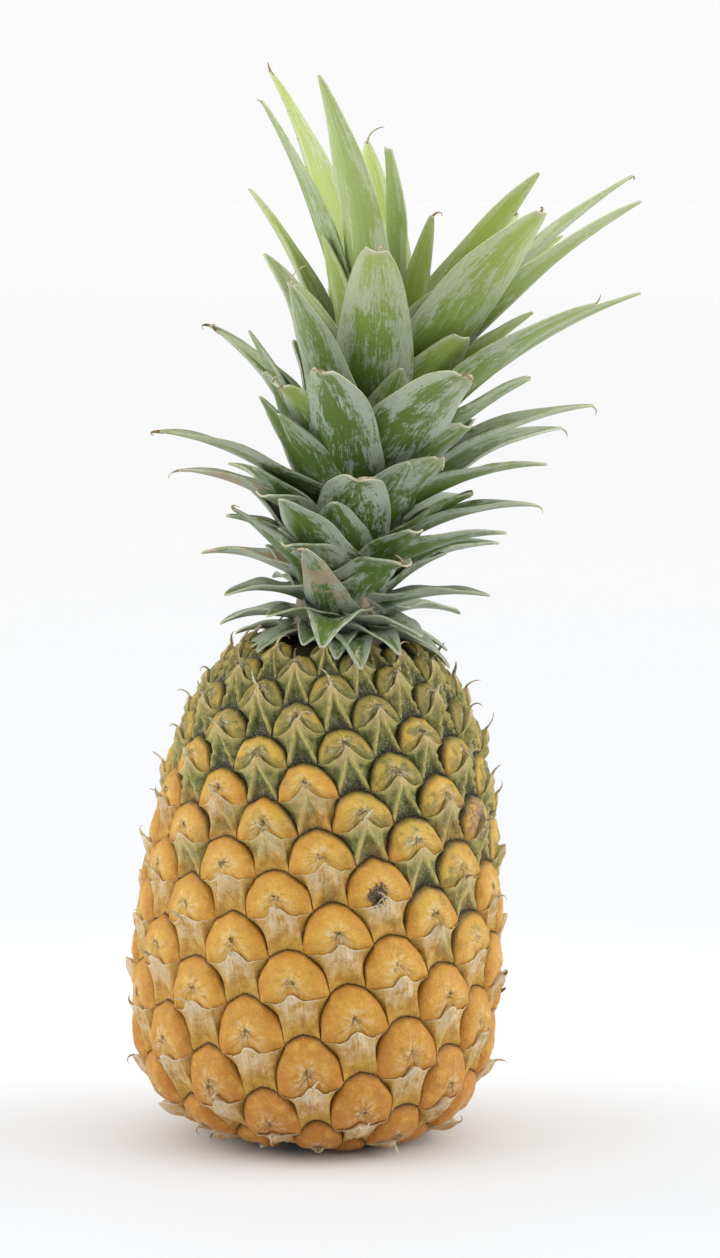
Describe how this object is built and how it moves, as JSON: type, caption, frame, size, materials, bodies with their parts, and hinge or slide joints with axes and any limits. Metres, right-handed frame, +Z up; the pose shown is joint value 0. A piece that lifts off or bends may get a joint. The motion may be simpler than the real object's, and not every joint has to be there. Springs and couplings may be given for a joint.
{
  "type": "pineapple",
  "caption": "Whole ripe pineapple with spiral eyes and pointed bracts on its skin and a leafy crown, standing upright on its cut stalk.",
  "frame": {"origin": "centre of the cut face of the stalk, on the surface the fruit stands on", "axes": "+Z up from the cut towards the crown, which is the longest extent; -Y is the front; the fruit leans a few degrees to +X"},
  "size_m": [0.1722, 0.1542, 0.3543],
  "materials": {
    "skin": "waxy orange-yellow skin, green towards the top, with papery straw-coloured bracts",
    "leaves": "tough green leaves with a pale waxy bloom and dry tips",
    "cut_stalk": "dry fibrous cut"
  },
  "bodies": {
    "root": {"fruit": "skin", "crown": "leaves", "stalk": "cut_stalk"}
  },
  "joints": []
}
